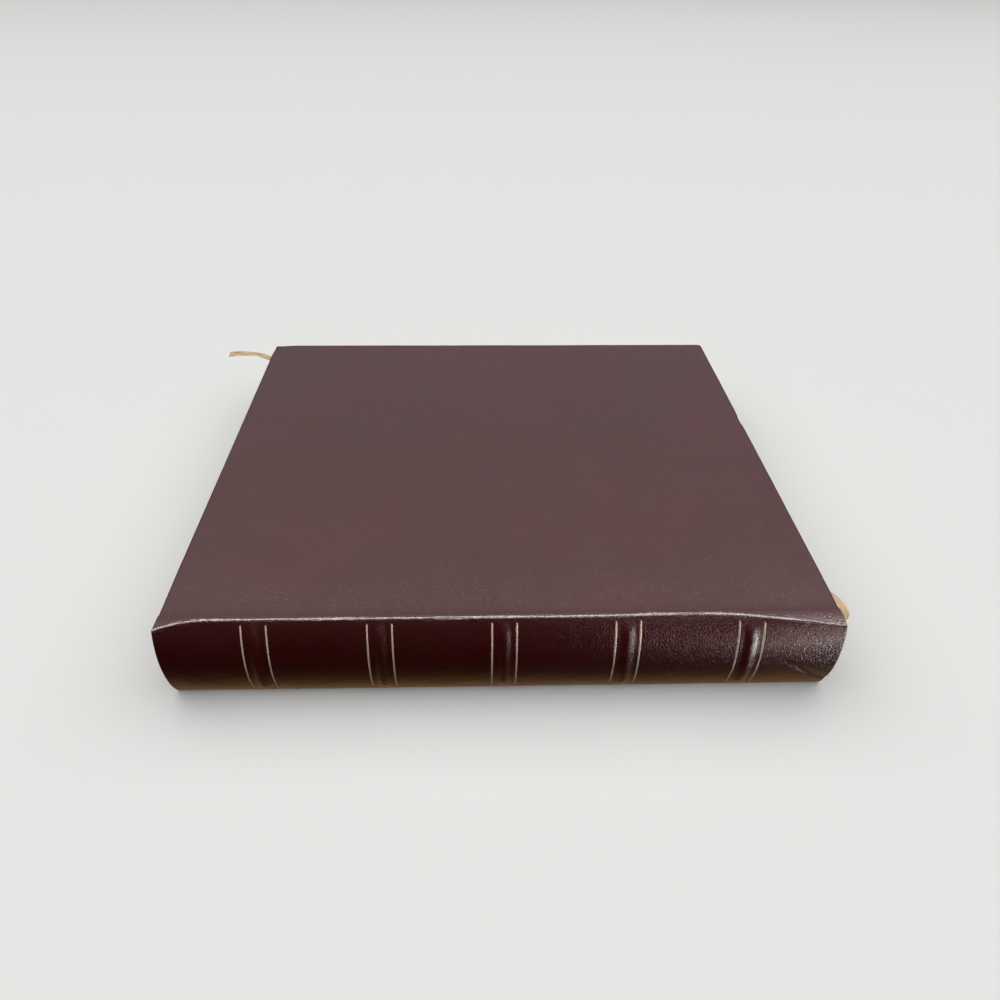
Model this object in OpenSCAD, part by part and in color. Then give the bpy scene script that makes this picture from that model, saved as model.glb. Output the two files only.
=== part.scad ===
// A large leather photo album, lying closed on its lower cover.
// X runs along the spine, -Y is the spine side, +Y the fore-edge and +Z is up.
// The origin is the centre of the lower cover's underside, from shoulder to fore-edge.

/* [Album] */
// Length of the covers along the spine
cover_w = 330; // [260:5:400]
// Depth of each cover from the shoulder line to the fore-edge
cover_d = 322; // [240:2:380]
// Thickness over both covers
album_t = 50; // [40:1:64]
// How far the upper cover leans past the lower one, towards the spine
lean = 4; // [0:0.5:7]

/* [Covers] */
// Thickness of each board
board_t = 2.8; // [2:0.1:4]
// Thickness of the covering leather
leather_t = 0.8; // [0.5:0.1:1.1]
// Thickness of the endpaper pasted inside each cover
pastedown_t = 0.4; // [0.2:0.1:0.8]
// Width of the leather turned in over the edges of a board
turn_in = 15; // [8:1:25]
// Width of the leather left bare round a pastedown
pastedown_margin = 4; // [2:0.5:7]
// Radius of the leather over the edges of a board
edge_r = 1.2; // [0.8:0.1:1.6]
// Radius of the cover corners seen from above
corner_r = 2.5; // [1.8:0.1:5]

/* [Joints] */
// Distance from the shoulder line to the hinge line
joint_set = 2.8; // [2.2:0.1:4]
// Width of the crease between the spine leather and a cover
joint_gap = 0.6; // [0.4:0.1:1]
// Clearance between a closed cover and the leaves
cover_gap = 0.3; // [0.3:0.05:0.8]

/* [Spine] */
// Bulge of the rounded spine beyond the line between the shoulders
spine_sag = 7; // [5:0.5:9]
// Radius of the leather over a shoulder
shoulder_r = 2.2; // [2:0.1:3]
// Thickness of the card that stiffens the spine
liner_t = 0.8; // [0.5:0.1:1.2]
// Length of the leather turned in at each end of the spine
cap_turn_in = 12; // [8:1:16]
// How far the tail end of the spine is pulled outwards at the top
flare_tail = 7.5; // [0:0.5:9]
// Length of spine over which the tail end is pulled out
flare_tail_run = 24; // [16:1:30]
// How far the head end of the spine is pulled outwards at the top
flare_head = 8; // [0:0.5:9]
// Length of spine over which the head end is pulled out
flare_head_run = 90; // [60:5:100]
// How far the shoulder droops at the head end
shoulder_droop = 3; // [0:0.5:4]
// Length of spine over which the shoulder droops
shoulder_droop_run = 60; // [40:5:80]

/* [Raised bands and gilt lines] */
// Distance from the tail end of the spine to the middle of the first raised band
tail_panel = 45.8; // [40:0.2:60]
// Distance from the middle of the last raised band to the head end of the spine
head_panel = 44.2; // [40:0.2:60]
// Width of a raised band at its foot
band_w = 8; // [6:0.5:9]
// Height of a raised band
band_h = 1.1; // [0.8:0.1:1.6]
// Distance from a raised band to the gilt line on either side
line_offset = 6; // [5.6:0.1:8]
// Width of a gilt line
line_w = 1; // [0.6:0.1:1]
// Depth of the tooled groove that holds a gilt line
line_depth = 0.25; // [0.22:0.01:0.4]
// Thickness of the gilt strip in the groove
gilt_t = 0.15; // [0.1:0.01:0.2]

/* [Leaves] */
// Number of leaves
leaf_count = 30; // [16:1:36]
// Gap between two leaves at their edges
leaf_gap = 0.25; // [0.15:0.05:0.4]
// Depth to which the gaps between the leaves show at the edges
leaf_relief = 0.6; // [0.3:0.1:1]
// Distance from a cover's edge to the edge of the leaves
square = 4; // [3:0.5:6]
// Distance from the shoulder line to the backs of the leaves
back_set = 3.4; // [3.2:0.1:5]
// Thickness of a flyleaf
flyleaf_t = 0.4; // [0.2:0.1:0.6]
// Thickness of the mull glued over the backs of the leaves
mull_t = 0.4; // [0.3:0.1:0.6]
// Distance from the ends of the leaves to the ends of the mull
mull_set = 10; // [8:1:12]
// Wall of the paper tube between the mull and the spine card
tube_wall = 0.6; // [0.4:0.1:0.8]
// Distance from the ends of the leaves to the ends of the paper tube
tube_set = 36; // [34:1:50]

/* [Headbands and ribbon] */
// Diameter of a headband's roll
roll_d = 2.6; // [2:0.1:2.8]
// Thickness of a headband's tape
tape_t = 0.3; // [0.2:0.05:0.3]
// Width of the ribbon marker
ribbon_w = 6; // [5:0.5:8]
// Thickness of the ribbon marker
ribbon_t = 0.3; // [0.2:0.05:0.35]
// Number of leaves above the ribbon marker
ribbon_leaf = 2; // [2:1:4]
// Distance from the backs of the leaves to where the ribbon enters at the head
ribbon_in = 25; // [24:1:50]
// Distance from the fore-edge to where the ribbon comes out at the tail
ribbon_out = 12; // [11:1:30]

/* [Hidden] */

// Number of raised bands, one node each
band_count = 5;
// Layer of glue left between curved pieces
glue_t = 0.15;
// Layer of glue left between the flat pieces of the back
flat_glue_t = 0.1;
// Layer of glue left under a raised band
thin_glue_t = 0.03;
// Width of a bevel at the side of a tooled groove
groove_bevel = 0.1;
// How much the pieces glued to the backs of the leaves fall short of the backs' height
back_short = 1;
// Distance from the turned-in leather to the ends of the spine card
liner_set = 1;
// Clearance round the ribbon in the slot between the leaves
ribbon_clear = 0.3;
// How far that slot is cut past the edges of the leaves
slot_past = 12;
// Segments of the rounding over a cover's edges and round its corners
edge_steps = 4;
corner_steps = 5;
// Facets of a full circle
circle_steps = 180;
// Allowance that lets a cutting shape run past what it cuts
past = 1;

leather_col = "#4a1416";
board_col = "#8d8473";
paper_col = "#efe6d2";
endpaper_col = "#d9ccb2";
card_col = "#b59d78";
cloth_col = "#d8d2c2";
gilt_col = "#c8a154";
ribbon_col = "#b98a3a";
silk_col = "#a8342c";

cover_t = leather_t + board_t + pastedown_t;
block_z0 = cover_t + cover_gap + flyleaf_t;
block_z1 = album_t - block_z0;
block_h = block_z1 - block_z0;
block_w = cover_w - 2 * square;
leaf_pitch = block_h / leaf_count;
lean_angle = atan(lean / album_t);

// Shape of the rounded spine in the YZ plane: one arc through both shoulder lines
chord = sqrt(lean * lean + album_t * album_t);
arc_r = (chord * chord / 4 + spine_sag * spine_sag) / (2 * spine_sag);
arc_out = [-album_t, -lean] / chord;
arc_c = [-cover_d / 2 - lean / 2, album_t / 2] - arc_out * (arc_r - spine_sag);
fillet_run = arc_r - shoulder_r;
upper_fillet_z = album_t - shoulder_r;
upper_fillet_c = [arc_c.x - sqrt(pow(fillet_run, 2) - pow(upper_fillet_z - arc_c.y, 2)), upper_fillet_z];
lower_fillet_c = [arc_c.x - sqrt(pow(fillet_run, 2) - pow(arc_c.y - shoulder_r, 2)), shoulder_r];
upper_turn = 180 - atan((upper_fillet_c.y - arc_c.y) / (arc_c.x - upper_fillet_c.x));
lower_turn = 180 + atan((arc_c.y - lower_fillet_c.y) / (arc_c.x - lower_fillet_c.x));

// Segments of the spine leather's section over the arc and over each shoulder
arc_steps = 12;
fillet_steps = 3;
// Segments of the leather over a raised band, from the last gilt line to a cap, and between two bands
band_steps = 6;
end_steps = 7;
field_steps = 3;
// Share of the arc over which a raised band sinks into the shoulder
band_fade = 0.16;
// Share of the arc by which the cord of a raised band stops short of the shoulder
band_short = 0.2;
// Powers that keep the pull and the droop of the ends near the upper shoulder
flare_power = 1.6;
droop_power = 6;

liner_r = arc_r - leather_t - glue_t;
tube_r = liner_r - liner_t - glue_t;
liner_w = cover_w - 2 * (cap_turn_in + liner_set);
cap_t = leather_t + liner_t;
// Angle by which the spine card stops short of the shoulders
liner_short = 4;

function smooth(q) = let (c = min(max(q, 0), 1)) c * c * (3 - 2 * c);
function rising(q) = let (c = min(max(q, 0), 1)) c * c;

// Y of the shoulder line's plane, of the leaves' backs and of the fore-edge at a height
function shoulder_y(z) = -cover_d / 2 - lean * z / album_t;
function back_y(z) = shoulder_y(z) + back_set;
function fore_y(z) = shoulder_y(z) + cover_d - square;

band_pitch = (cover_w - tail_panel - head_panel) / (band_count - 1);
function band_x(i) = tail_panel - cover_w / 2 + (i - 1) * band_pitch;

function flare(x) =
    flare_tail * rising((-x - cover_w / 2 + flare_tail_run) / flare_tail_run)
    + flare_head * rising((x - cover_w / 2 + flare_head_run) / flare_head_run);
function droop(x) = shoulder_droop * rising((x - cover_w / 2 + shoulder_droop_run) / shoulder_droop_run);

// Moves a point of the section as the ends of the spine are pulled out of shape
function pulled(p, x) =
    let (u = min(max(p.y / album_t, 0), 1))
    [x, p.x - flare(x) * pow(u, flare_power), p.y - droop(x) * pow(u, droop_power)];

// Point of the arc at a share t from the upper to the lower shoulder, raised outwards
function arc_point(t, x, raised) =
    let (a = upper_turn + (lower_turn - upper_turn) * t)
    pulled(arc_c + (arc_r + raised) * [cos(a), sin(a)], x);

function fillet_point(c, a, x, sunk) = pulled(c + (shoulder_r - sunk) * [cos(a), sin(a)], x);

function band_share(t) = smooth(min(t, 1 - t) / band_fade);

// Section of the leather at x, sunk below the grain side by a depth, with a band's swell and a groove
function side(x, sunk, swell, groove) = concat(
    [[x, shoulder_y(album_t) + joint_set - joint_gap / 2, album_t - sunk]],
    [for (k = [0 : fillet_steps])
        fillet_point(upper_fillet_c, 90 + (upper_turn - 90) * k / fillet_steps, x, sunk)],
    [for (k = [1 : arc_steps - 1])
        arc_point(k / arc_steps, x, swell * band_share(k / arc_steps) - groove - sunk)],
    [for (k = [0 : fillet_steps])
        fillet_point(lower_fillet_c, lower_turn + (270 - lower_turn) * k / fillet_steps, x, sunk)],
    [[x, shoulder_y(0) + joint_set - joint_gap / 2, sunk]]
);

// Section ring: the grain side down the spine and the flesh side back up
function ring(s) = concat(
    side(s[0], 0, s[1], s[2]),
    reversed(side(s[0], s[3], s[1], 0))
);

function reversed(list) = [for (k = [len(list) - 1 : -1 : 0]) list[k]];

// Stations along the spine: place, swell of a band, depth of a groove, thickness
function line_stations(x) = [
    [x - line_w / 2 - groove_bevel, 0, 0, leather_t],
    [x - line_w / 2, 0, line_depth, leather_t],
    [x + line_w / 2, 0, line_depth, leather_t],
    [x + line_w / 2 + groove_bevel, 0, 0, leather_t]
];
function swell(k) = (1 - cos(360 * k / band_steps)) / 2;
function swell_stations(x) = [
    for (k = [0 : band_steps])
        [x + band_w * (k / band_steps - 0.5), band_h * swell(k), 0, leather_t]
];
function band_stations(x) = concat(
    line_stations(x - line_offset),
    swell_stations(x),
    line_stations(x + line_offset)
);
function field_stations(x) = [
    for (k = [1 : field_steps])
        [x + line_reach + (band_pitch - 2 * line_reach) * k / (field_steps + 1), 0, 0, leather_t]
];
// Stations from the last gilt line before an end of the spine to that end, and the same mirrored
line_reach = line_offset + line_w / 2 + groove_bevel;
cap_from = cover_w / 2 - cap_turn_in;
function end_stations(from) = concat(
    [for (k = [1 : end_steps]) [from + (cap_from - from) * k / end_steps, 0, 0, leather_t]],
    [
        [cap_from + groove_bevel, 0, 0, cap_t],
        [(cap_from + cover_w / 2) / 2, 0, 0, cap_t],
        [cover_w / 2, 0, 0, cap_t]
    ]
);
function mirrored(list) = [for (s = reversed(list)) [-s[0], s[1], s[2], s[3]]];
stations = concat(
    mirrored(end_stations(line_reach - band_x(1))),
    [for (i = [1 : band_count]) each concat(
        band_stations(band_x(i)),
        i < band_count ? field_stations(band_x(i)) : []
    )],
    end_stations(band_x(band_count) + line_reach)
);

// Faces that close a ring: one for a convex ring, and a strip of them for a ring that folds back on itself
function whole_cap(n) = [[for (k = [0 : n - 1]) k]];
function strip_cap(n) = [for (k = [0 : n / 2 - 2]) [k, k + 1, n - 2 - k, n - 1 - k]];

// Solid through a list of rings that all have the same number of points, closed at both ends by the caps
module loft(rings, cap) {
    n = len(rings[0]);
    last = (len(rings) - 1) * n;
    polyhedron(
        points = [for (r = rings) each r],
        faces = concat(
            cap,
            [for (j = [0 : len(rings) - 2], k = [0 : n - 1])
                let (a = j * n + k, b = j * n + (k + 1) % n)
                each [[a, a + n, b], [b, a + n, b + n]]],
            [for (face = cap) [for (k = reversed(face)) last + k]]
        ),
        convexity = 10
    );
}

// Draws a YZ outline as a bar along X
module along_x(length) {
    rotate([90, 0, 90])
        linear_extrude(length, center = true)
            children();
}

// Places a piece on the slanting backs of the leaves: its X along the spine, its -Y outwards
module on_back() {
    translate([0, back_y(album_t / 2), album_t / 2])
        rotate([lean_angle, 0, 0])
            children();
}

// Edges of the leaves as seen from one side: the gaps step in by the relief
leaf_edge = [
    for (i = [0 : leaf_count - 1])
        let (z0 = block_z0 + i * leaf_pitch, z1 = z0 + leaf_pitch - (i < leaf_count - 1 ? leaf_gap : 0))
        each concat(
            [[0, z0], [0, z1]],
            i < leaf_count - 1 ? [[-leaf_relief, z1], [-leaf_relief, z0 + leaf_pitch]] : []
        )
];

module leaf_section() {
    polygon(concat(
        [for (p = leaf_edge) [fore_y(p.y) + p.x, p.y]],
        [[back_y(block_z1), block_z1], [back_y(block_z0), block_z0]]
    ));
}

module leaf_face() {
    polygon(concat(
        [for (p = leaf_edge) [block_w / 2 + p.x, p.y]],
        [for (p = reversed(leaf_edge)) [-block_w / 2 - p.x, p.y]]
    ));
}

// Where the ribbon goes in at the head and comes out at the tail
ribbon_z = block_z1 - ribbon_leaf * leaf_pitch + leaf_gap / 2;
ribbon_head = [block_w / 2, back_y(ribbon_z) + ribbon_in];
ribbon_tail = [-block_w / 2, fore_y(ribbon_z) - ribbon_out];
ribbon_run = norm(ribbon_tail - ribbon_head);
ribbon_dir = (ribbon_tail - ribbon_head) / ribbon_run;

module page_block() {
    color(paper_col)
        difference() {
            intersection() {
                along_x(cover_w)
                    leaf_section();
                translate([0, cover_d, 0])
                    rotate([90, 0, 0])
                        linear_extrude(2 * cover_d)
                            leaf_face();
            }
            translate([ribbon_head.x, ribbon_head.y, ribbon_z])
                rotate([0, 0, atan2(ribbon_dir.y, ribbon_dir.x)])
                    translate([ribbon_run / 2, 0, 0])
                        cube(
                            [ribbon_run + 2 * slot_past, ribbon_w + 2 * ribbon_clear, ribbon_t + ribbon_clear],
                            center = true
                        );
        }
}

module flyleaf(z) {
    translate([-block_w / 2, back_y(z), z])
        cube([block_w, fore_y(z) - back_y(z), flyleaf_t]);
}

module upper_flyleaf() {
    color(endpaper_col)
        flyleaf(block_z1);
}

module lower_flyleaf() {
    color(endpaper_col)
        flyleaf(block_z0 - flyleaf_t);
}

// Height of the leaves' backs measured along their slant, and a little less for what is glued on
back_h = block_h * cos(lean_angle) - back_short;

module spine_mull() {
    color(cloth_col)
        on_back()
            translate([-block_w / 2 + mull_set, -mull_t, -back_h / 2])
                cube([block_w - 2 * mull_set, mull_t, back_h]);
}

// Outline of the paper tube, or of its hollow when inset by the wall
module tube_outline(inset) {
    front = back_y(album_t / 2) - mull_t - flat_glue_t - inset;
    intersection() {
        translate(arc_c)
            circle(r = tube_r - inset, $fn = circle_steps);
        translate([front, album_t / 2])
            rotate(lean_angle)
                translate([-arc_r, inset - back_h / 2])
                    square([arc_r, back_h - 2 * inset]);
    }
}

module hollow_tube() {
    color(paper_col)
        along_x(block_w - 2 * tube_set)
            difference() {
                tube_outline(0);
                tube_outline(tube_wall);
            }
}

// Part of the disc round the spine's arc between two angles
module sector(from, to) {
    far = 2 * arc_r;
    middle = (from + to) / 2;
    translate(arc_c)
        polygon([
            [0, 0],
            far * [cos(from), sin(from)],
            far * [cos(middle), sin(middle)],
            far * [cos(to), sin(to)]
        ]);
}

module spine_liner() {
    color(card_col)
        along_x(liner_w)
            intersection() {
                difference() {
                    translate(arc_c)
                        circle(r = liner_r, $fn = circle_steps);
                    translate(arc_c)
                        circle(r = liner_r - liner_t, $fn = circle_steps);
                }
                sector(upper_turn + liner_short, lower_turn - liner_short);
            }
}

// Strip of cord under the leather, swelling from the card as the leather does
module raised_band(i) {
    turn = lower_turn - upper_turn;
    foot = liner_r + thin_glue_t;
    color(card_col)
        translate([band_x(i), arc_c.x, arc_c.y])
            rotate([90, 0, 90])
                rotate([0, 0, upper_turn + turn * band_short])
                    rotate_extrude(angle = turn * (1 - 2 * band_short), $fn = circle_steps)
                        polygon([
                            for (k = [0 : band_steps])
                                [foot + (band_h - flat_glue_t) * swell(k), band_w * (k / band_steps - 0.5)]
                        ]);
}

module spine_leather() {
    color(leather_col)
        loft([for (s = stations) ring(s)], strip_cap(len(ring(stations[0]))));
}

// One gilt line, lying in its groove from shoulder to shoulder
module gilt_line(x) {
    high = (gilt_t - line_depth) / 2;
    low = high - gilt_t;
    half = (line_w - groove_bevel) / 2;
    section = [[half, high], [-half, high], [-half, low], [half, low]];
    loft(
        [for (k = [1 : arc_steps - 1])
            [for (p = section) arc_point(k / arc_steps, x + p.x, p.y)]],
        whole_cap(len(section))
    );
}

module gilt_lines() {
    color(gilt_col)
        for (i = [1 : band_count], way = [-1, 1])
            gilt_line(band_x(i) + way * line_offset);
}

// Silk roll on the edge of the leaves, with the tape that fixes it to their backs
module headband() {
    on_back() {
        translate([block_w / 2 + roll_d / 2, roll_d / 4, 0])
            cylinder(d = roll_d, h = back_h, center = true, $fn = circle_steps);
        translate([block_w / 2 - mull_set + flat_glue_t, -tape_t, -back_h / 2])
            cube([mull_set + roll_d / 2, tape_t, back_h]);
    }
}

module head_band() {
    color(silk_col)
        headband();
}

module tail_band() {
    color(silk_col)
        mirror([1, 0, 0])
            headband();
}

// Ribbon route: X past the head of the leaves, Y from their backs, Z from the gap, twist
ribbon_back_y = back_y(ribbon_z - ribbon_w / 2) - mull_t - flat_glue_t - ribbon_t / 2;
head_route = [
    [-30, 0, -4.4, 90],
    [-12, 0, -4.4, 90],
    [-1, -1.2, -4.4, 90],
    [7, -0.8, -4.4, 90],
    [12, 2.5, -4, 82],
    [14, 8.5, -3, 62],
    [11.5, 14.5, -1.4, 32]
];
// Ribbon route past the tail, from the point where it comes out
tail_route = [
    [-9, 8, -0.2, 0],
    [-18, 15, -0.6, 0],
    [-31, 19, -1.4, 10],
    [-42, 20, -2.6, 18]
];
// Distances from the edges of the leaves, outwards and inwards, at which the ribbon is led flat
lead_out = 6;
lead_in = 2;
lead_deep = 12;
// Segments of the ribbon between two points of its route
ribbon_steps = 4;

function on_ribbon(along) = concat(ribbon_head + along * ribbon_dir, [ribbon_z, 0]);
head_points = concat(
    [for (p = head_route) [block_w / 2 + p[0], ribbon_back_y + p[1], ribbon_z + p[2], p[3]]],
    [on_ribbon(-lead_out), on_ribbon(lead_in), on_ribbon(lead_deep)]
);
tail_points = concat(
    [on_ribbon(ribbon_run - lead_deep), on_ribbon(ribbon_run - lead_in)],
    [for (p = tail_route) [ribbon_tail.x + p[0], ribbon_tail.y + p[1], ribbon_z + p[2], p[3]]]
);

// Smooth run through a list of points, ends included
function point_at(list, i) = list[min(max(i, 0), len(list) - 1)];
function curve(list, i, t) =
    let (a = point_at(list, i - 1), b = point_at(list, i), c = point_at(list, i + 1), d = point_at(list, i + 2))
    0.5 * (2 * b + (c - a) * t + (2 * a - 5 * b + 4 * c - d) * t * t + (3 * b - a - 3 * c + d) * t * t * t);
function run_of(list) = concat(
    [for (i = [0 : len(list) - 2], k = [0 : ribbon_steps - 1]) curve(list, i, k / ribbon_steps)],
    [list[len(list) - 1]]
);
ribbon_line = concat(run_of(head_points), run_of(tail_points));

function part_of(p) = [p[0], p[1], p[2]];
function unit(v) = v / norm(v);
ribbon_section = [[1, 1], [1, -1], [-1, -1], [-1, 1]];
function ribbon_ring(i) =
    let (
        p = ribbon_line[i],
        along = unit(part_of(point_at(ribbon_line, i + 1)) - part_of(point_at(ribbon_line, i - 1))),
        level = unit(cross(along, [0, 0, 1])),
        slant = unit([0, -sin(lean_angle), cos(lean_angle)]),
        wide = unit(level * cos(p[3]) + slant * sin(p[3])) * ribbon_w / 2,
        thick = unit(cross(along, wide)) * ribbon_t / 2
    )
    [for (c = ribbon_section) part_of(p) + c.x * wide + c.y * thick];

module ribbon_marker() {
    color(ribbon_col)
        loft([for (i = [0 : len(ribbon_line) - 1]) ribbon_ring(i)], whole_cap(len(ribbon_section)));
}

// Places a cover drawn face down, with its fore-edge at Y 0, at the bottom or the top of the album
module lower_place() {
    translate([0, cover_d / 2, 0])
        children();
}

module upper_place() {
    translate([0, cover_d / 2 - lean, album_t])
        mirror([0, 0, 1])
            children();
}

hinge_run = cover_d - joint_set - joint_gap / 2;

// Board drawn with its outer side down, stepped to take the turned-in leather
module board() {
    rim = leather_t + turn_in;
    translate([0, 0, leather_t])
        difference() {
            translate([-cover_w / 2 + leather_t, -hinge_run, 0])
                cube([cover_w - 2 * leather_t, hinge_run - leather_t, board_t]);
            difference() {
                translate([-cover_w / 2, -cover_d, board_t - leather_t])
                    cube([cover_w, cover_d + past, leather_t + past]);
                translate([-cover_w / 2 + rim, -cover_d - past, board_t - leather_t - past])
                    cube([cover_w - 2 * rim, cover_d - rim + past, leather_t + 3 * past]);
            }
        }
}

// Slab with its fore-edge at Y 0, rounded over all its edges but the one at the hinge
function corner(x, y, r, from, z) = [
    for (k = [0 : corner_steps])
        let (a = from + 90 * k / corner_steps)
        [x + r * cos(a), y + r * sin(a), z]
];
function slab_ring(inset, z) =
    let (reach = cover_w / 2 - corner_r)
    concat(
        [[-cover_w / 2 + inset, -hinge_run, z], [cover_w / 2 - inset, -hinge_run, z]],
        corner(reach, -corner_r, corner_r - inset, 0, z),
        corner(-reach, -corner_r, corner_r - inset, 90, z)
    );
module rounded_slab(t) {
    low = [
        for (k = [0 : edge_steps])
            let (a = 90 * k / edge_steps)
            [edge_r * (1 - sin(a)), edge_r * (1 - cos(a))]
    ];
    rings = concat(
        [for (p = low) slab_ring(p[0], t - p[1])],
        [for (p = reversed(low)) slab_ring(p[0], p[1])]
    );
    loft(rings, whole_cap(len(rings[0])));
}

module cover_leather() {
    rim = leather_t + turn_in;
    shell_t = leather_t + board_t;
    difference() {
        rounded_slab(shell_t);
        translate([-cover_w / 2 + leather_t, -cover_d, leather_t])
            cube([cover_w - 2 * leather_t, cover_d - leather_t, board_t - leather_t]);
        translate([-cover_w / 2 + rim, -cover_d, leather_t])
            cube([cover_w - 2 * rim, cover_d - rim, board_t + past]);
    }
}

module pastedown() {
    inset = pastedown_margin;
    translate([-cover_w / 2 + inset, -hinge_run, leather_t + board_t])
        cube([cover_w - 2 * inset, hinge_run - inset, pastedown_t]);
}

module upper_board() {
    color(board_col)
        upper_place()
            board();
}

module lower_board() {
    color(board_col)
        lower_place()
            board();
}

module upper_cover_leather() {
    color(leather_col)
        upper_place()
            cover_leather();
}

module lower_cover_leather() {
    color(leather_col)
        lower_place()
            cover_leather();
}

module upper_pastedown() {
    color(endpaper_col)
        upper_place()
            pastedown();
}

module lower_pastedown() {
    color(endpaper_col)
        lower_place()
            pastedown();
}

page_block();
upper_flyleaf();
lower_flyleaf();
spine_mull();
hollow_tube();
spine_liner();
raised_band(1);  // raised_band_1
raised_band(2);  // raised_band_2
raised_band(3);  // raised_band_3
raised_band(4);  // raised_band_4
raised_band(5);  // raised_band_5
spine_leather();
gilt_lines();
head_band();
tail_band();
ribbon_marker();
upper_board();
upper_cover_leather();
upper_pastedown();
lower_board();
lower_cover_leather();
lower_pastedown();
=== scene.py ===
import bmesh
import bpy
import numpy as np
from mathutils import Matrix, Vector


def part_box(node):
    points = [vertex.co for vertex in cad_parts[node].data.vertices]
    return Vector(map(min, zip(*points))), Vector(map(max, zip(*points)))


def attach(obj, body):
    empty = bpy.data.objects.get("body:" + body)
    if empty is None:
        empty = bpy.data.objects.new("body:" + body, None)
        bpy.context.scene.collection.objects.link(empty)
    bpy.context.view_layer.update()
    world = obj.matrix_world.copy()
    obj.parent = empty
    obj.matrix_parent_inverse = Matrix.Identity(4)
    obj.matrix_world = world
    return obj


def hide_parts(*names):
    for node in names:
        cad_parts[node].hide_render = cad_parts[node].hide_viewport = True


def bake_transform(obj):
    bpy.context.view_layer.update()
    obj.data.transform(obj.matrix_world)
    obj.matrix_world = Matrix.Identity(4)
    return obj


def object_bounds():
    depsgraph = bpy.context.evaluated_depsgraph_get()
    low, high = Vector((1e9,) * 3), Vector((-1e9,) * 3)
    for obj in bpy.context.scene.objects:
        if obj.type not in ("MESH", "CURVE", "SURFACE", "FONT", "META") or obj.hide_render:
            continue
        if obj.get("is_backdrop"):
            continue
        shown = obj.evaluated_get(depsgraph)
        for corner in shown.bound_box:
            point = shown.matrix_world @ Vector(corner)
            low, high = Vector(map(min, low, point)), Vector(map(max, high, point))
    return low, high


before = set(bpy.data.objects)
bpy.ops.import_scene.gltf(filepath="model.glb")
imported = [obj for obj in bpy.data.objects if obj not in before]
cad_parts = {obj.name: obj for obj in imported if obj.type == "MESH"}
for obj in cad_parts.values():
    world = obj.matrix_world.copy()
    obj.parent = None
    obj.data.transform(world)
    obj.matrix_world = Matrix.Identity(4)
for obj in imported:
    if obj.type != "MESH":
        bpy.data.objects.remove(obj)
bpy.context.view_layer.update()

# The leaves: thirty sheets of stiff cream album card, squared and cut on three edges.
# They are guarded and sewn through their backs, so at the edges a thin gap shows between
# one leaf and the next, and no leaf lies exactly over its neighbour.
LEAF_COUNT = 30
LEAF_GAP = 0.00025
LEAF_RELIEF = 0.0006
LEAF_STRAY = 0.00018
LEAF_WAVE = 0.00008
SIDE_STEPS = 60
leaf_low, leaf_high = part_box("page_block")
cover_low, cover_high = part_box("upper_cover_leather")
base_low, base_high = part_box("lower_cover_leather")
ALBUM_T = cover_high.z
LEAN = base_high.y - cover_high.y
SHOULDER = -base_high.y
SQUARE = cover_high.x - leaf_high.x
BACK_SET = 0.0034


def shoulder_at(z):
    """Y of the line of the shoulders at height z: it leans over the spine by LEAN from bottom to top."""
    return SHOULDER - LEAN * z / ALBUM_T


def soft_noise(*axes, seed=0, waves=9):
    """Smooth noise between about -1 and 1: a sum of sine waves whose directions and phases come from the seed."""
    pick = np.random.default_rng(seed)
    total = 0
    for _ in range(waves):
        turn = pick.uniform(-1, 1, len(axes))
        turn = turn / np.linalg.norm(turn) * pick.uniform(0.5, 1.6)
        total = total + np.sin(sum(a * t for a, t in zip(axes, turn)) * 2 * np.pi + pick.uniform(0, 2 * np.pi))
    return total / np.sqrt(waves * 2)


def grid_faces(rows, columns, first=0, around=False):
    """Quads between neighbouring points of a grid of rows and columns; around joins the last column to the first."""
    across = columns if around else columns - 1
    r, c = np.meshgrid(np.arange(rows - 1), np.arange(across), indexing="ij")
    a, b = r * columns + c, r * columns + (c + 1) % columns
    return first + np.stack([a, b, b + columns, a + columns], axis=-1).reshape(-1, 4)


def surface(name, grids, around=False, ends=(), angle=40, weld=1e-6):
    """A mesh object through one or more grids of points (rows, columns, 3), welded where they meet.
    ends holds (grid, row or column, index) of an open edge that one flat face closes."""
    corners, quads, caps, first = [], [], [], 0
    for g, points in enumerate(grids):
        rows, columns = points.shape[:2]
        quads.append(grid_faces(rows, columns, first, around))
        index = first + np.arange(rows * columns).reshape(rows, columns)
        caps += [index[i] if kind == "row" else index[:, i] for which, kind, i in ends if which == g]
        corners.append(points.reshape(-1, 3))
        first += rows * columns
    faces = [list(map(int, f)) for f in np.concatenate(quads)] + [list(map(int, c)) for c in caps]
    mesh = bpy.data.meshes.new(name)
    mesh.from_pydata(np.concatenate(corners).tolist(), [], faces)
    shape = bmesh.new()
    shape.from_mesh(mesh)
    bmesh.ops.remove_doubles(shape, verts=shape.verts, dist=weld)
    bmesh.ops.dissolve_degenerate(shape, edges=shape.edges, dist=weld / 10)
    bmesh.ops.recalc_face_normals(shape, faces=shape.faces)
    shape.to_mesh(mesh)
    shape.free()
    mesh.shade_smooth()
    mesh.set_sharp_from_angle(angle=np.radians(angle))
    piece = bpy.data.objects.new(name, mesh)
    bpy.context.scene.collection.objects.link(piece)
    return piece


def colour(code):
    """An sRGB hex colour as linear RGBA."""
    s = np.array([int(code[i : i + 2], 16) for i in (1, 3, 5)]) / 255
    return (*np.where(s <= 0.04045, s / 12.92, ((s + 0.055) / 1.055) ** 2.4), 1.0)


def add(tree, kind, links=None, **settings):
    """Adds a node: settings are its properties, links its inputs, each a value or another node's output."""
    node = tree.nodes.new(kind)
    for key, value in settings.items():
        setattr(node, key, value)
    for key, value in (links or {}).items():
        if isinstance(value, bpy.types.NodeSocket):
            tree.links.new(value, node.inputs[key])
        else:
            node.inputs[key].default_value = value
    return node


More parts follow.
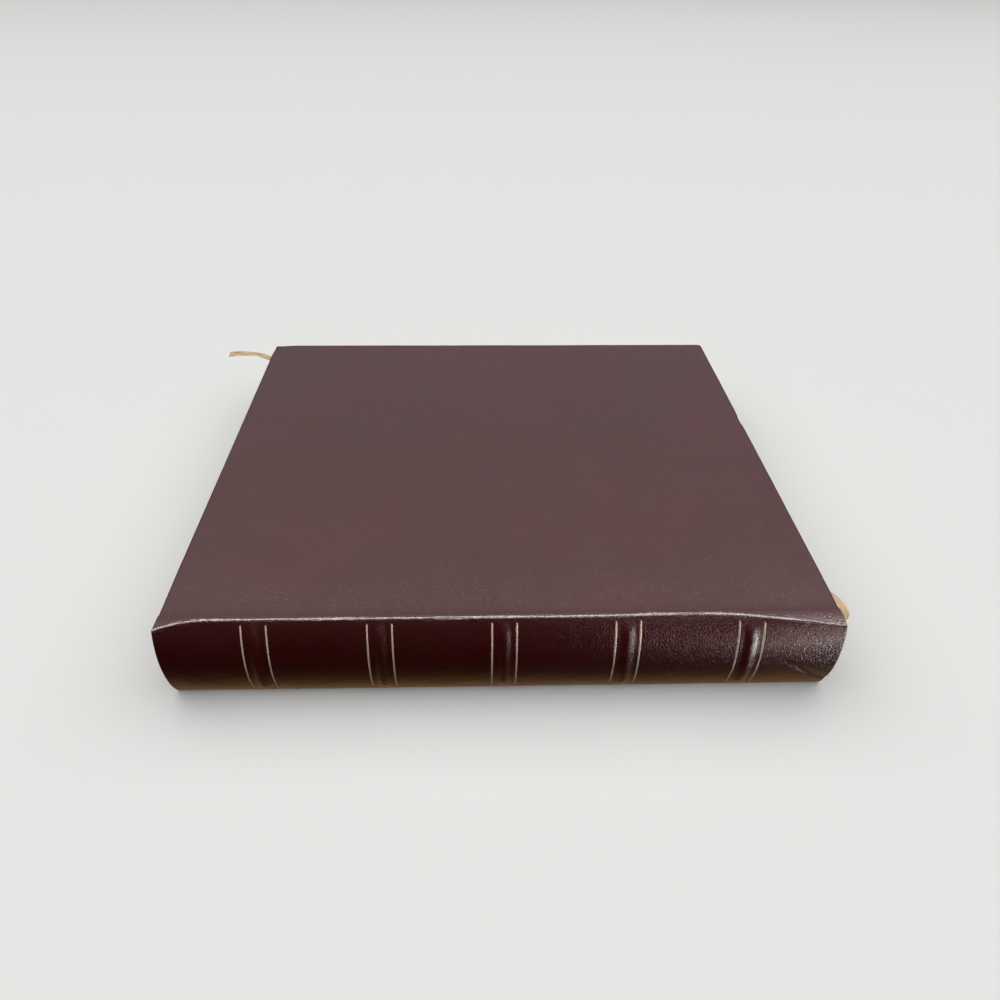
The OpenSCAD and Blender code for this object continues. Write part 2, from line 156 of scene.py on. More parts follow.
def material(name):
    """A new material: its tree, its principled shader and the piece's own coordinates in metres."""
    made = bpy.data.materials.new(name)
    made.use_nodes = True
    tree = made.node_tree
    place = add(tree, "ShaderNodeTexCoord").outputs["Object"]
    return made, tree, tree.nodes["Principled BSDF"], place


# Album card: dense, uncoated and matt, a little darker and yellower at the cut edges,
# with fibres that show as a fine mottle about a millimetre across.
album_card, tree, shader, place = material("album_card")
fibre = add(tree, "ShaderNodeTexNoise", {"Vector": place, "Scale": 1 / 0.0012, "Detail": 5.0, "Roughness": 0.65})
stretch = add(tree, "ShaderNodeMapping", {"Vector": place, "Scale": (1 / 0.03, 1 / 0.03, 1 / 0.0009)})
by_leaf = add(tree, "ShaderNodeTexNoise", {"Vector": stretch.outputs["Vector"], "Scale": 1.0, "Detail": 2.0})
tone = add(tree, "ShaderNodeValToRGB", {"Fac": by_leaf.outputs["Fac"]})
tone.color_ramp.elements[0].position, tone.color_ramp.elements[0].color = 0.3, colour("#D9C9A9")
tone.color_ramp.elements[1].position, tone.color_ramp.elements[1].color = 0.7, colour("#F1E5CC")
speck = add(tree, "ShaderNodeMix", {0: 0.35, 6: tone.outputs["Color"], 7: fibre.outputs["Color"]}, data_type="RGBA",
            blend_type="SOFT_LIGHT")
tree.links.new(speck.outputs[2], shader.inputs["Base Color"])
shader.inputs["Roughness"].default_value = 0.85
shader.inputs["Specular IOR Level"].default_value = 0.3
nap = add(tree, "ShaderNodeBump", {"Height": fibre.outputs["Fac"], "Strength": 0.25, "Distance": 0.0002})
tree.links.new(nap.outputs["Normal"], shader.inputs["Normal"])


def leaf_rings():
    """Outline of the block at each height: four heights a leaf, out to the leaf's edge and back into the gap,
    and round the outline the back, the tail, the fore-edge and the head, each leaf strayed by its own small noise."""
    pitch = (leaf_high.z - leaf_low.z) / LEAF_COUNT
    leaf = np.repeat(np.arange(LEAF_COUNT), 4)
    part = np.tile([0, 1, 2, 3], LEAF_COUNT)
    low = leaf_low.z + leaf * pitch
    rise = np.array([0, LEAF_GAP * 0.25, pitch - LEAF_GAP * 1.25, pitch - LEAF_GAP])[part]
    z = (low + rise)[:, None]
    in_gap = ((part == 0) | (part == 3))[:, None]
    round_off = np.where(in_gap, LEAF_RELIEF, 0)
    side = np.linspace(0, 1, SIDE_STEPS, endpoint=False)
    turn = np.repeat(np.arange(4), SIDE_STEPS)[None, :]
    along = np.tile(side, 4)[None, :]
    stray = LEAF_STRAY * soft_noise(leaf[:, None] * 0.73, turn * 1.7 + along * 0.9, seed=4)
    back = shoulder_at(z) + BACK_SET
    front = shoulder_at(z) + base_high.y * 2 - SQUARE - round_off + stray
    reach = leaf_high.x - round_off + stray
    x = np.select([turn == 0, turn == 1, turn == 2, turn == 3],
                  [reach * (1 - 2 * along), -reach, -reach * (1 - 2 * along), reach])
    y = np.select([turn == 0, turn == 1, turn == 2, turn == 3],
                  [back + 0 * along, back + (front - back) * along, front + 0 * along, front - (front - back) * along])
    wave = LEAF_WAVE * soft_noise(leaf[:, None] * 0.31, x / 0.05, y / 0.05, seed=9)
    return np.stack([x, y, z + np.where(in_gap, 0, wave)], axis=-1)


leaves = surface("leaves", [leaf_rings()], around=True, ends=[(0, "row", 0), (0, "row", -1)], angle=30)
leaves.data.materials.append(album_card)
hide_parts("page_block")
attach(leaves, "block")

# The endpapers: a folded sheet of laid paper at each end, half of it free as a flyleaf
# and half pasted down inside the cover. Each half is a flat CAD sheet, tinted a warm
# grey-buff, with the faint lines of the paper mould, drawn 2 mm apart, twice as coarse as real.
laid_paper, tree, shader, place = material("laid_paper")
lines = add(tree, "ShaderNodeTexWave", {"Vector": place, "Scale": 1 / (0.0011 * 2 * np.pi), "Distortion": 0.4,
                                        "Detail": 2.0}, bands_direction="Y")
cloud = add(tree, "ShaderNodeTexNoise", {"Vector": place, "Scale": 1 / 0.02, "Detail": 6.0, "Roughness": 0.6})
buff = add(tree, "ShaderNodeValToRGB", {"Fac": cloud.outputs["Fac"]})
buff.color_ramp.elements[0].position, buff.color_ramp.elements[0].color = 0.3, colour("#D0C3A6")
buff.color_ramp.elements[1].position, buff.color_ramp.elements[1].color = 0.7, colour("#D9CDB2")
tree.links.new(buff.outputs["Color"], shader.inputs["Base Color"])
shader.inputs["Roughness"].default_value = 0.8
shader.inputs["Specular IOR Level"].default_value = 0.3
ribs = add(tree, "ShaderNodeBump", {"Height": lines.outputs["Fac"], "Strength": 0.12, "Distance": 0.0001})
tree.links.new(ribs.outputs["Normal"], shader.inputs["Normal"])


def finish_node(name, made):
    """Gives a CAD node its material."""
    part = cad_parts[name]
    part.data.materials.clear()
    part.data.materials.append(made)


for name in ("upper_flyleaf", "lower_flyleaf", "upper_pastedown", "lower_pastedown"):
    finish_node(name, laid_paper)

# The back of the leaves is covered with mull, an open cotton weave stiffened with glue.
# It only shows at the ends, deep in the hollow of the spine.
mull, tree, shader, place = material("mull")
threads = add(tree, "ShaderNodeTexBrick", {"Vector": place, "Scale": 1 / 0.0012, "Mortar Size": 0.12,
                                           "Color1": colour("#D8D0BC"), "Color2": colour("#C9BFA8"),
                                           "Mortar": colour("#8E8068")}, offset=0.5)
tree.links.new(threads.outputs["Color"], shader.inputs["Base Color"])
shader.inputs["Roughness"].default_value = 0.9
finish_node("spine_mull", mull)

# The hollow back: a flattened tube of brown kraft paper, glued to the mull on one side
# and to the spine card on the other, which lets the spine spring away as the album opens.
kraft, tree, shader, place = material("kraft_paper")
pulp = add(tree, "ShaderNodeTexNoise", {"Vector": place, "Scale": 1 / 0.0015, "Detail": 6.0, "Roughness": 0.7})
tan = add(tree, "ShaderNodeValToRGB", {"Fac": pulp.outputs["Fac"]})
tan.color_ramp.elements[0].position, tan.color_ramp.elements[0].color = 0.3, colour("#8F6F4C")
tan.color_ramp.elements[1].position, tan.color_ramp.elements[1].color = 0.7, colour("#AD8B62")
tree.links.new(tan.outputs["Color"], shader.inputs["Base Color"])
shader.inputs["Roughness"].default_value = 0.75
finish_node("hollow_tube", kraft)

# The spine card and the cords of the raised bands: grey-brown strawboard under the leather.
# The boards of the covers are a denser, darker millboard of the same kind.
strawboard, tree, shader, place = material("strawboard")
chips = add(tree, "ShaderNodeTexNoise", {"Vector": place, "Scale": 1 / 0.0008, "Detail": 4.0, "Roughness": 0.7})
drab = add(tree, "ShaderNodeValToRGB", {"Fac": chips.outputs["Fac"]})
drab.color_ramp.elements[0].position, drab.color_ramp.elements[0].color = 0.3, colour("#766853")
drab.color_ramp.elements[1].position, drab.color_ramp.elements[1].color = 0.7, colour("#988A72")
tree.links.new(drab.outputs["Color"], shader.inputs["Base Color"])
shader.inputs["Roughness"].default_value = 0.9
for name in ("spine_liner", "upper_board", "lower_board", *(f"raised_band_{i}" for i in range(1, 6))):
    finish_node(name, strawboard)

# The headbands: silk thread worked over a cord at each end of the backs, crimson and
# cream by turns, each thread about half a millimetre thick, with the tape that holds it.
ROLL_D = 0.0026
THREAD = 0.00055
TAPE_T = 0.0003
TAPE_IN = 0.0098

silk, tree, shader, place = material("silk_thread")
shade = add(tree, "ShaderNodeAttribute", attribute_name="stripe")
dyed = add(tree, "ShaderNodeValToRGB", {"Fac": shade.outputs["Fac"]})
dyed.color_ramp.interpolation = "CONSTANT"
dyed.color_ramp.elements[0].position, dyed.color_ramp.elements[0].color = 0.0, colour("#7A1C1C")
dyed.color_ramp.elements[1].position, dyed.color_ramp.elements[1].color = 0.5, colour("#DCCDA4")
tree.links.new(dyed.outputs["Color"], shader.inputs["Base Color"])
shader.inputs["Roughness"].default_value = 0.42
shader.inputs["Sheen Weight"].default_value = 0.4


def headband(name, way):
    """A roll along the slanting backs at one end: a circle carried from the lower to the upper end of the backs,
    its radius swelling over each thread, closed to a point at both ends, and behind it the flat tape."""
    low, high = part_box(f"{name}_band")
    s = np.linspace(0, 1, 361)[:, None]
    a = np.linspace(0, 2 * np.pi, 20, endpoint=False)[None, :]
    length = high.z - low.z
    closing = np.sqrt(np.clip(1 - np.clip(1 - np.minimum(s, 1 - s) * length / (ROLL_D / 2), 0, 1) ** 2, 0, 1))
    thread = np.abs(np.sin(np.pi * s * length / THREAD))
    r = ROLL_D / 2 * closing * (0.93 + 0.07 * thread)
    z = low.z + length * s
    middle_y = shoulder_at(z) + BACK_SET + ROLL_D / 4
    x = way * (leaf_high.x + ROLL_D / 2 + r * np.cos(a))
    y = middle_y + r * np.sin(a)
    roll = np.stack([x, y, z + 0 * a], axis=-1)
    near, far = leaf_high.x - TAPE_IN, leaf_high.x + ROLL_D * 0.3
    flat = np.array([[near, 0], [far, 0], [far, -TAPE_T], [near, -TAPE_T]])
    h = np.array([[low.z], [high.z]])
    tape = np.stack(np.broadcast_arrays(way * flat[:, 0], shoulder_at(h) + BACK_SET + flat[:, 1], h), axis=-1)
    band = surface(f"{name}band", [roll, tape], around=True,
                   ends=[(0, "row", 0), (0, "row", -1), (1, "row", 0), (1, "row", -1)], angle=70)
    stripe = band.data.attributes.new("stripe", "FLOAT", "POINT")
    height = np.zeros(len(band.data.vertices) * 3, np.float32)
    band.data.vertices.foreach_get("co", height)
    turn = np.floor((height.reshape(-1, 3)[:, 2] - low.z) / (THREAD * 3)) % 2
    stripe.data.foreach_set("value", turn.astype(np.float32))
    band.data.materials.append(silk)
    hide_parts(f"{name}_band")
    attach(band, "block")


headband("head", 1)
headband("tail", -1)

# The ribbon marker: a 6 mm gold satin ribbon, glued in the hollow at the head, brought out
# round the headband in a loop, laid slantwise between the leaves and left hanging out of the
# opposite corner. Its gold colour carries a painted sheen: pale and dark streaks along the warp
# threads, drawn coarser than real.
RIBBON_W = 0.006
RIBBON_T = 0.0003
RIBBON_LEAF = 2
RIBBON_IN = 0.025
RIBBON_OUT = 0.012
RIB_DEPTH = 0.12
GLUE_T = 0.0001
MULL_T = 0.0004
pitch = (leaf_high.z - leaf_low.z) / LEAF_COUNT
ribbon_z = leaf_high.z - RIBBON_LEAF * pitch + LEAF_GAP / 2
ribbon_head = np.array([leaf_high.x, shoulder_at(ribbon_z) + BACK_SET + RIBBON_IN])
ribbon_tail = np.array([-leaf_high.x, shoulder_at(ribbon_z) + base_high.y * 2 - SQUARE - RIBBON_OUT])
ribbon_back = shoulder_at(ribbon_z - RIBBON_W / 2) + BACK_SET - MULL_T - GLUE_T - RIBBON_T / 2
run = np.linalg.norm(ribbon_tail - ribbon_head)
heading = (ribbon_tail - ribbon_head) / run
# Millimetres past the head of the leaves, from their backs and from the gap, and the twist in degrees
HEAD_ROUTE = [(-30, 0, -4.4, 90), (-12, 0, -4.4, 90), (-1, -1.2, -4.4, 90), (4.5, -0.8, -4.2, 84),
              (7.8, 2.4, -3.4, 50), (10.2, 8, -2.6, 15), (10, 14, -1.8, 6)]
TAIL_ROUTE = [(-9, 8, -0.2, 0), (-18, 15, -0.6, 0), (-31, 19, -1.4, 10), (-41.9, 20, -2.6, 18)]


def on_run(mm):
    """A point of the straight stretch between the leaves, mm from where it goes in."""
    return (*(ribbon_head + heading * mm / 1000), ribbon_z, 0)


def smooth_run(points, steps):
    """A smooth curve through points: a cubic between two of them, sloped at each as its neighbours' chord."""
    p = np.array(points)
    p = np.concatenate([p[:1], p, p[-1:]])
    a, b, c, d = p[:-3, None], p[1:-2, None], p[2:-1, None], p[3:, None]
    t = np.linspace(0, 1, steps, endpoint=False)[None, :, None]
    curve = 0.5 * (2 * b + (c - a) * t + (2 * a - 5 * b + 4 * c - d) * t**2 + (3 * b - a - 3 * c + d) * t**3)
    return np.concatenate([curve.reshape(-1, p.shape[1]), p[-1:]])


def ribbon_grid():
    """A thin rounded strip carried along the route: across it turns from upright to flat by the twist, and its
    faces carry fine lengthwise ribs. Also the place of each point on the ribbon, across and along."""
    head = [(leaf_high.x + x / 1000, ribbon_back + y / 1000, ribbon_z + z / 1000, w) for x, y, z, w in HEAD_ROUTE]
    tail = [(ribbon_tail[0] + x / 1000, ribbon_tail[1] + y / 1000, ribbon_z + z / 1000, w) for x, y, z, w in TAIL_ROUTE]
    far = run * 1000
    line = np.concatenate([
        smooth_run(head + [on_run(-6), on_run(2), on_run(12)], 14),
        smooth_run([on_run(far - 12), on_run(far - 2)] + tail, 14),
    ])
    p, twist = line[:, :3], np.radians(line[:, 3:])
    along = np.gradient(p, axis=0)
    along /= np.linalg.norm(along, axis=1, keepdims=True)
    level = np.cross(along, [0, 0, 1])
    level /= np.linalg.norm(level, axis=1, keepdims=True)
    slant = np.array([0, -LEAN, ALBUM_T]) / np.hypot(LEAN, ALBUM_T)
    wide = level * np.cos(twist) + slant * np.sin(twist)
    wide /= np.linalg.norm(wide, axis=1, keepdims=True)
    thick = np.cross(along, wide)
    thick /= np.linalg.norm(thick, axis=1, keepdims=True)
    across = np.concatenate([np.linspace(-1, 1, 25), np.linspace(1, -1, 25)])
    side = np.repeat([1, -1], 25)
    rib = 1 - RIB_DEPTH * (np.arange(50) % 2)
    edge = np.sqrt(np.clip(1 - np.abs(across) ** 8, 0.01, 1))
    out = side * edge * rib
    length = np.concatenate([[0], np.cumsum(np.linalg.norm(np.diff(p, axis=0), axis=1))])
    lay = np.stack(np.broadcast_arrays(across[None, :] * RIBBON_W / 2, length[:, None], 0), axis=-1)
    return (p[:, None] + wide[:, None] * across[None, :, None] * RIBBON_W / 2
            + thick[:, None] * out[None, :, None] * RIBBON_T / 2), lay


strip, lay = ribbon_grid()
ribbon = surface("ribbon", [strip], around=True, ends=[(0, "row", 0), (0, "row", -1)], angle=60)
warp = ribbon.data.attributes.new("lay", "FLOAT_VECTOR", "POINT")
warp.data.foreach_set("vector", lay.astype(np.float32).ravel())
satin, tree, shader, place = material("gold_satin")
laid = add(tree, "ShaderNodeAttribute", attribute_name="lay")
# Painted sheen: the gold colour runs from dark to pale in streaks laid along the warp.
painted_sheen_streaks = add(tree, "ShaderNodeMapping", {"Vector": laid.outputs["Vector"], "Scale": (1 / 0.0005, 1 / 0.009, 1)})
threads = add(tree, "ShaderNodeTexNoise", {"Vector": painted_sheen_streaks.outputs["Vector"], "Scale": 1.0, "Detail": 2.0})
gold = add(tree, "ShaderNodeValToRGB", {"Fac": threads.outputs["Fac"]})
gold.color_ramp.elements[0].position, gold.color_ramp.elements[0].color = 0.38, colour("#8F6A3C")
gold.color_ramp.elements[1].position, gold.color_ramp.elements[1].color = 0.62, colour("#E6C492")
tree.links.new(gold.outputs["Color"], shader.inputs["Base Color"])
shader.inputs["Roughness"].default_value = 0.4
shader.inputs["Sheen Weight"].default_value = 0.5
ribbon.data.materials.append(satin)
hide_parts("ribbon_marker")
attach(ribbon, "block")

# The covering leather: one glazed calfskin, dyed a dark burgundy that clouds to brown, with
# the hand-stained colour in soft streaks along the spine. Its grain shows where it catches the
# light, and is drawn at 1.1 to 1.3 mm, twice as coarse as real, so that the render can show it.
leather, tree, shader, place = material("glazed_calf")
cloudy = add(tree, "ShaderNodeTexNoise", {"Vector": place, "Scale": 1 / 0.075, "Detail": 4.0, "Roughness": 0.55})
streaks = add(tree, "ShaderNodeMapping", {"Vector": place, "Scale": (1 / 0.045, 1 / 0.0035, 1 / 0.006)})
stain = add(tree, "ShaderNodeTexNoise", {"Vector": streaks.outputs["Vector"], "Scale": 1.0, "Detail": 5.0,
                                         "Roughness": 0.6})
blend = add(tree, "ShaderNodeMath", {0: cloudy.outputs["Fac"], 1: 0.62}, operation="MULTIPLY")
blended = add(tree, "ShaderNodeMath", {0: stain.outputs["Fac"], 1: 0.38, 2: blend.outputs[0]}, operation="MULTIPLY_ADD")
dye = add(tree, "ShaderNodeValToRGB", {"Fac": blended.outputs[0]})
dye.color_ramp.elements[0].position, dye.color_ramp.elements[0].color = 0.36, colour("#3C110B")
dye.color_ramp.elements[1].position, dye.color_ramp.elements[1].color = 0.64, colour("#470A11")
middle = dye.color_ramp.elements.new(0.5)
middle.color = colour("#410C0C")
tree.links.new(dye.outputs["Color"], shader.inputs["Base Color"])
grain = add(tree, "ShaderNodeTexVoronoi", {"Vector": place, "Scale": 1 / 0.0013, "Randomness": 1.0},
            feature="DISTANCE_TO_EDGE")
creased = add(tree, "ShaderNodeMapRange", {"Value": grain.outputs["Distance"], "From Min": 0.0, "From Max": 0.12})
pores = add(tree, "ShaderNodeTexNoise", {"Vector": place, "Scale": 1 / 0.0011, "Detail": 2.0, "Roughness": 0.5})
relief = add(tree, "ShaderNodeMath", {0: creased.outputs["Result"], 1: 0.35, 2: pores.outputs["Fac"]},
             operation="MULTIPLY_ADD")
bump = add(tree, "ShaderNodeBump", {"Height": relief.outputs[0], "Strength": 0.5, "Distance": 0.00028})
tree.links.new(bump.outputs["Normal"], shader.inputs["Normal"])
tree.links.new(bump.outputs["Normal"], shader.inputs["Coat Normal"])
polish = add(tree, "ShaderNodeTexNoise", {"Vector": place, "Scale": 1 / 0.03, "Detail": 5.0, "Roughness": 0.6})
dull = add(tree, "ShaderNodeMapRange", {"Value": polish.outputs["Fac"], "From Min": 0.3, "From Max": 0.7,
                                        "To Min": 0.36, "To Max": 0.46})
tree.links.new(dull.outputs["Result"], shader.inputs["Roughness"])
shader.inputs["IOR"].default_value = 1.5
shader.inputs["Specular IOR Level"].default_value = 0.2
shader.inputs["Coat Weight"].default_value = 0.85
shader.inputs["Coat Roughness"].default_value = 0.18

# Each cover's leather lies over the outer face of its board, is worked round three edges
# and turned in 15 mm on the inside. The far tail corner is bumped from use, the head edge has
# a small nick, and a shallow valley runs slantwise from the hinge near the head.
LEATHER_T = 0.0008
BOARD_T = 0.0028
TURN_IN = 0.015
EDGE_R = 0.0013
CORNER_R = 0.0028
JOINT_SET = 0.0028
JOINT_GAP = 0.0006
COVER_SET, COVER_WAVE, COVER_RIPPLE = 0.00016, 0.00007, 0.00003
VALLEY_DEPTH, VALLEY_W, VALLEY_RUN = 0.0002, 0.014, 0.03
WORN_DEPTH, WORN_PULL, WORN_R = 0.0005, 0.0012, 0.008
NICK_DEPTH, NICK_PULL, NICK_AT = 0.0004, 0.0007, 0.033
FURROW = 0.0004
FURROW_BACK, FURROW_RISE, FURROW_RUN = 0.004, 0.0042, 0.016


def furrow(y, crease):
    """How far the leather sinks along a hinge: a bell curve that is deepest a little behind the crease, steep
    towards the shoulder and long towards the fore-edge."""
    past = y - crease - FURROW_BACK
    return FURROW * np.exp(-((past / np.where(past > 0, FURROW_RUN, FURROW_RISE)) ** 2))


def cover_leather(high):
    """The leather of one cover, drawn with its outer face at height 0 and its inside below.
    One parameter runs round the tail edge, the fore-edge and the head edge; the other is the section: from the
    middle of the outer face out to the edge, round it by two quarter circles, in under the board to the end of the
    turn-in, and back along the flesh side. A point is the outline inset by the section's distance from the edge."""
    half = cover_high.x
    hinge = cover_low.y if high else base_low.y
    fore = cover_high.y if high else base_high.y
    shell = LEATHER_T + BOARD_T
    turn = np.linspace(0, np.pi / 2, 7)
    far = half * (1 - np.linspace(0, 1, 44) ** 0.7)
    inset = np.concatenate([
        far[:-1] + EDGE_R * (far[:-1] < EDGE_R),
        EDGE_R * (1 - np.sin(turn)),
        EDGE_R * (1 - np.cos(turn)),
        np.linspace(EDGE_R, TURN_IN + LEATHER_T, 12)[1:],
        [TURN_IN + LEATHER_T, LEATHER_T, LEATHER_T],
        np.linspace(LEATHER_T, half, 3)[1:],
    ])
    depth = np.concatenate([
        0 * far[:-1],
        EDGE_R * (1 - np.cos(turn)),
        shell - EDGE_R * (1 - np.sin(turn)),
        np.full(11, shell),
        [shell - LEATHER_T, shell - LEATHER_T, LEATHER_T],
        np.full(2, LEATHER_T),
    ])
    outer = (np.arange(len(inset)) < len(far) - 1 + 2 * len(turn))[:, None]
    inset, depth = inset[:, None], depth[:, None]
    side = np.linspace(0, 1, 90)
    arc = np.linspace(0, np.pi / 2, 8)[1:-1]
    r = np.maximum(CORNER_R - inset, 0)
    centre = np.maximum(inset, CORNER_R)
    x_side = -(half - inset)
    tail = np.stack([x_side + 0 * side, hinge + (fore - centre - hinge) * side], axis=-1)
    first = np.stack([-(half - centre) - r * np.cos(arc), fore - centre + r * np.sin(arc)], axis=-1)
    across = np.linspace(-1, 1, 91)
    front = np.stack([(half - centre) * across, fore - inset + 0 * across], axis=-1)
    second = first[:, ::-1] * [-1, 1]
    head = tail[:, ::-1] * [-1, 1]
    plan = np.concatenate([tail, first, front, second, head], axis=1)
    x, y = plan[..., 0], plan[..., 1]
    sag = COVER_WAVE * soft_noise(x / 0.09, y / 0.09, seed=21) + COVER_RIPPLE * soft_noise(x / 0.02, y / 0.02, seed=22)
    sag = sag - COVER_SET - furrow(y, hinge - JOINT_GAP / 2)
    aside = (x - half + VALLEY_RUN) * 0.62 + (y - hinge) * 0.78
    valley = np.exp(-((aside / VALLEY_W) ** 2)) * np.exp(-(((y - hinge) / VALLEY_RUN) ** 2)) * high
    worn = np.exp(-(((x + half) / WORN_R) ** 2 + ((y - fore) / WORN_R) ** 2)) * high
    nick = np.exp(-(((x - half) / 0.005) ** 2 + ((y - NICK_AT) / 0.006) ** 2)) * high
    sunk = VALLEY_DEPTH * valley + WORN_DEPTH * worn + NICK_DEPTH * nick
    z = -depth + np.where(outer & (depth < shell / 2), sag - sunk, 0)
    pull = WORN_PULL * worn * outer
    x = x + pull - NICK_PULL * nick * outer
    y = y - pull
    return np.stack([x, y, z], axis=-1)


for name, high in (("upper", True), ("lower", False)):
    shape = cover_leather(high)
    if high:
        shape = shape + [0, 0, ALBUM_T]
    else:
        shape = shape * [1, 1, -1]
    cover = surface(f"{name}_leather", [shape], ends=[(0, "column", 0), (0, "column", -1)], angle=50)
    cover.data.materials.append(leather)
    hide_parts(f"{name}_cover_leather")
    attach(cover, f"{name}_cover")

# The spine: leather drawn over the card and down between the raised bands, turned in at the
# head and tail, with two shoulders that lie along the covers. Both ends have been pulled out
# of shape at the top, and the head end droops where the album has been taken off a shelf.
SAG = 0.007
SHOULDER_R = 0.0022
LINER_T = 0.0008
CAP_TURN_IN = 0.012
FLARE_TAIL, FLARE_TAIL_RUN = 0.0075, 0.024
FLARE_HEAD, FLARE_HEAD_RUN = 0.008, 0.090
DROOP, DROOP_RUN = 0.0012, 0.060
LIP_BEND = 2.2
SOFT, SOFT_AT, SOFT_RUN, SOFT_FROM = 0.0021, 0.098, 0.030, 0.72
CREASE_FROM, CREASE_TO = (0.141, 0.5), (0.165, 0.85)
CREASE_DEPTH, CREASE_W = 0.0005, 0.0018
LUMP, FINE_LUMP = 0.00009, 0.00005
BAND_COUNT, BAND_PITCH, BAND_SHIFT = 5, 0.060, 0.0008
BAND_W, BAND_H, BAND_FADE = 0.008, 0.0011, 0.16
LINE_OFFSET, LINE_W, LINE_DEPTH = 0.006, 0.001, 0.00025
chord = np.hypot(LEAN, ALBUM_T)
arc_r = (chord**2 / 4 + SAG**2) / (2 * SAG)
outwards = np.array([-ALBUM_T, -LEAN]) / chord
arc_c = np.array([SHOULDER - LEAN / 2, ALBUM_T / 2]) - outwards * (arc_r - SAG)
fillet_run = arc_r - SHOULDER_R
upper_c = np.array([arc_c[0] - np.sqrt(fillet_run**2 - (ALBUM_T - SHOULDER_R - arc_c[1]) ** 2), ALBUM_T - SHOULDER_R])
lower_c = np.array([arc_c[0] - np.sqrt(fillet_run**2 - (arc_c[1] - SHOULDER_R) ** 2), SHOULDER_R])
upper_turn = np.pi - np.arctan((upper_c[1] - arc_c[1]) / (arc_c[0] - upper_c[0]))
lower_turn = np.pi + np.arctan((arc_c[1] - lower_c[1]) / (arc_c[0] - lower_c[0]))
band_places = [BAND_SHIFT + (i - (BAND_COUNT - 1) / 2) * BAND_PITCH for i in range(BAND_COUNT)]
line_places = [x + way * LINE_OFFSET for x in band_places for way in (-1, 1)]


def ease(q):
    """A smooth step from 0 to 1 as q goes from 0 to 1."""
    q = np.clip(q, 0, 1)
    return q * q * (3 - 2 * q)


def rising(q):
    """The square of q kept between 0 and 1."""
    return np.clip(q, 0, 1) ** 2


def flare(x):
    """How far an end of the spine is pulled out at the top."""
    half = cover_high.x
    return (FLARE_TAIL * rising((-x - half + FLARE_TAIL_RUN) / FLARE_TAIL_RUN)
            + FLARE_HEAD * rising((x - half + FLARE_HEAD_RUN) / FLARE_HEAD_RUN))


def droop(x):
    """How far the shoulder droops at the head."""
    return DROOP * rising((x - cover_high.x + DROOP_RUN) / DROOP_RUN)


def pulled(x, y, z):
    """The spine as its ends are pulled: out by a share that grows with the height, down near the shoulder, and
    before the head pressed back again towards the top, so that the worn shoulder there is broad and soft."""
    u = np.clip(z / ALBUM_T, 0, 1)
    pressed = SOFT * np.exp(-(((x - SOFT_AT) / SOFT_RUN) ** 2)) * rising((u - SOFT_FROM) / (1 - SOFT_FROM))
    return y - flare(x) * u**1.6 + pressed, z - droop(x) * u**6


def spine_point(x, t, sunk):
    """A point of the spine's section. t runs from -1 at the upper crease over the upper shoulder to 0, round the
    arc to 1 and over the lower shoulder to 2. Past 0 and 1 the shoulder is a quarter round for a share of 0.6, and
    then a lip that bends down from the crease as the power LIP_BEND of the way. sunk is the depth below the grain."""
    x, t, sunk = np.broadcast_arrays(x, t, sunk)
    swell = sum(np.where(np.abs(x - b) < BAND_W / 2, (1 + np.cos(2 * np.pi * (x - b) / BAND_W)) / 2, 0)
                for b in band_places)
    r = arc_r + BAND_H * swell * ease(np.minimum(t, 1 - t) / BAND_FADE) - sunk
    a = upper_turn + (lower_turn - upper_turn) * np.clip(t, 0, 1)
    y, z = pulled(x, arc_c[0] + r * np.cos(a), arc_c[1] + r * np.sin(a))
    r = SHOULDER_R - sunk
    for past, c, turn, flat, level, way in ((-t, upper_c, upper_turn, np.pi / 2, ALBUM_T, 1),
                                            (t - 1, lower_c, lower_turn, 1.5 * np.pi, 0, -1)):
        crease = shoulder_at(level) + JOINT_SET - JOINT_GAP / 2
        fall = droop(x) if way > 0 else 0
        start = flat + way * np.arctan(LIP_BEND * fall / (crease - c[0] + flare(x)))
        a = turn + (start - turn) * np.clip(past / 0.6, 0, 1)
        round_y, round_z = pulled(x, c[0] + r * np.cos(a), c[1] + r * np.sin(a))
        edge_y, edge_z = pulled(x, c[0] + r * np.cos(start), c[1] + r * np.sin(start))
        w = 1 - np.clip((past - 0.6) / 0.4, 0, 1)
        lip_y = crease + (edge_y - crease) * w
        lip_z = level - way * sunk + (edge_z - level + way * sunk) * w**LIP_BEND
        new_y, new_z = np.where(past < 0.6, round_y, lip_y), np.where(past < 0.6, round_z, lip_z)
        new_z = new_z - way * furrow(new_y, crease + JOINT_GAP / 2) * ease(past / 0.5)
        y, z = np.where(past > 0, new_y, y), np.where(past > 0, new_z, z)
    return np.stack([x, y, z], axis=-1)


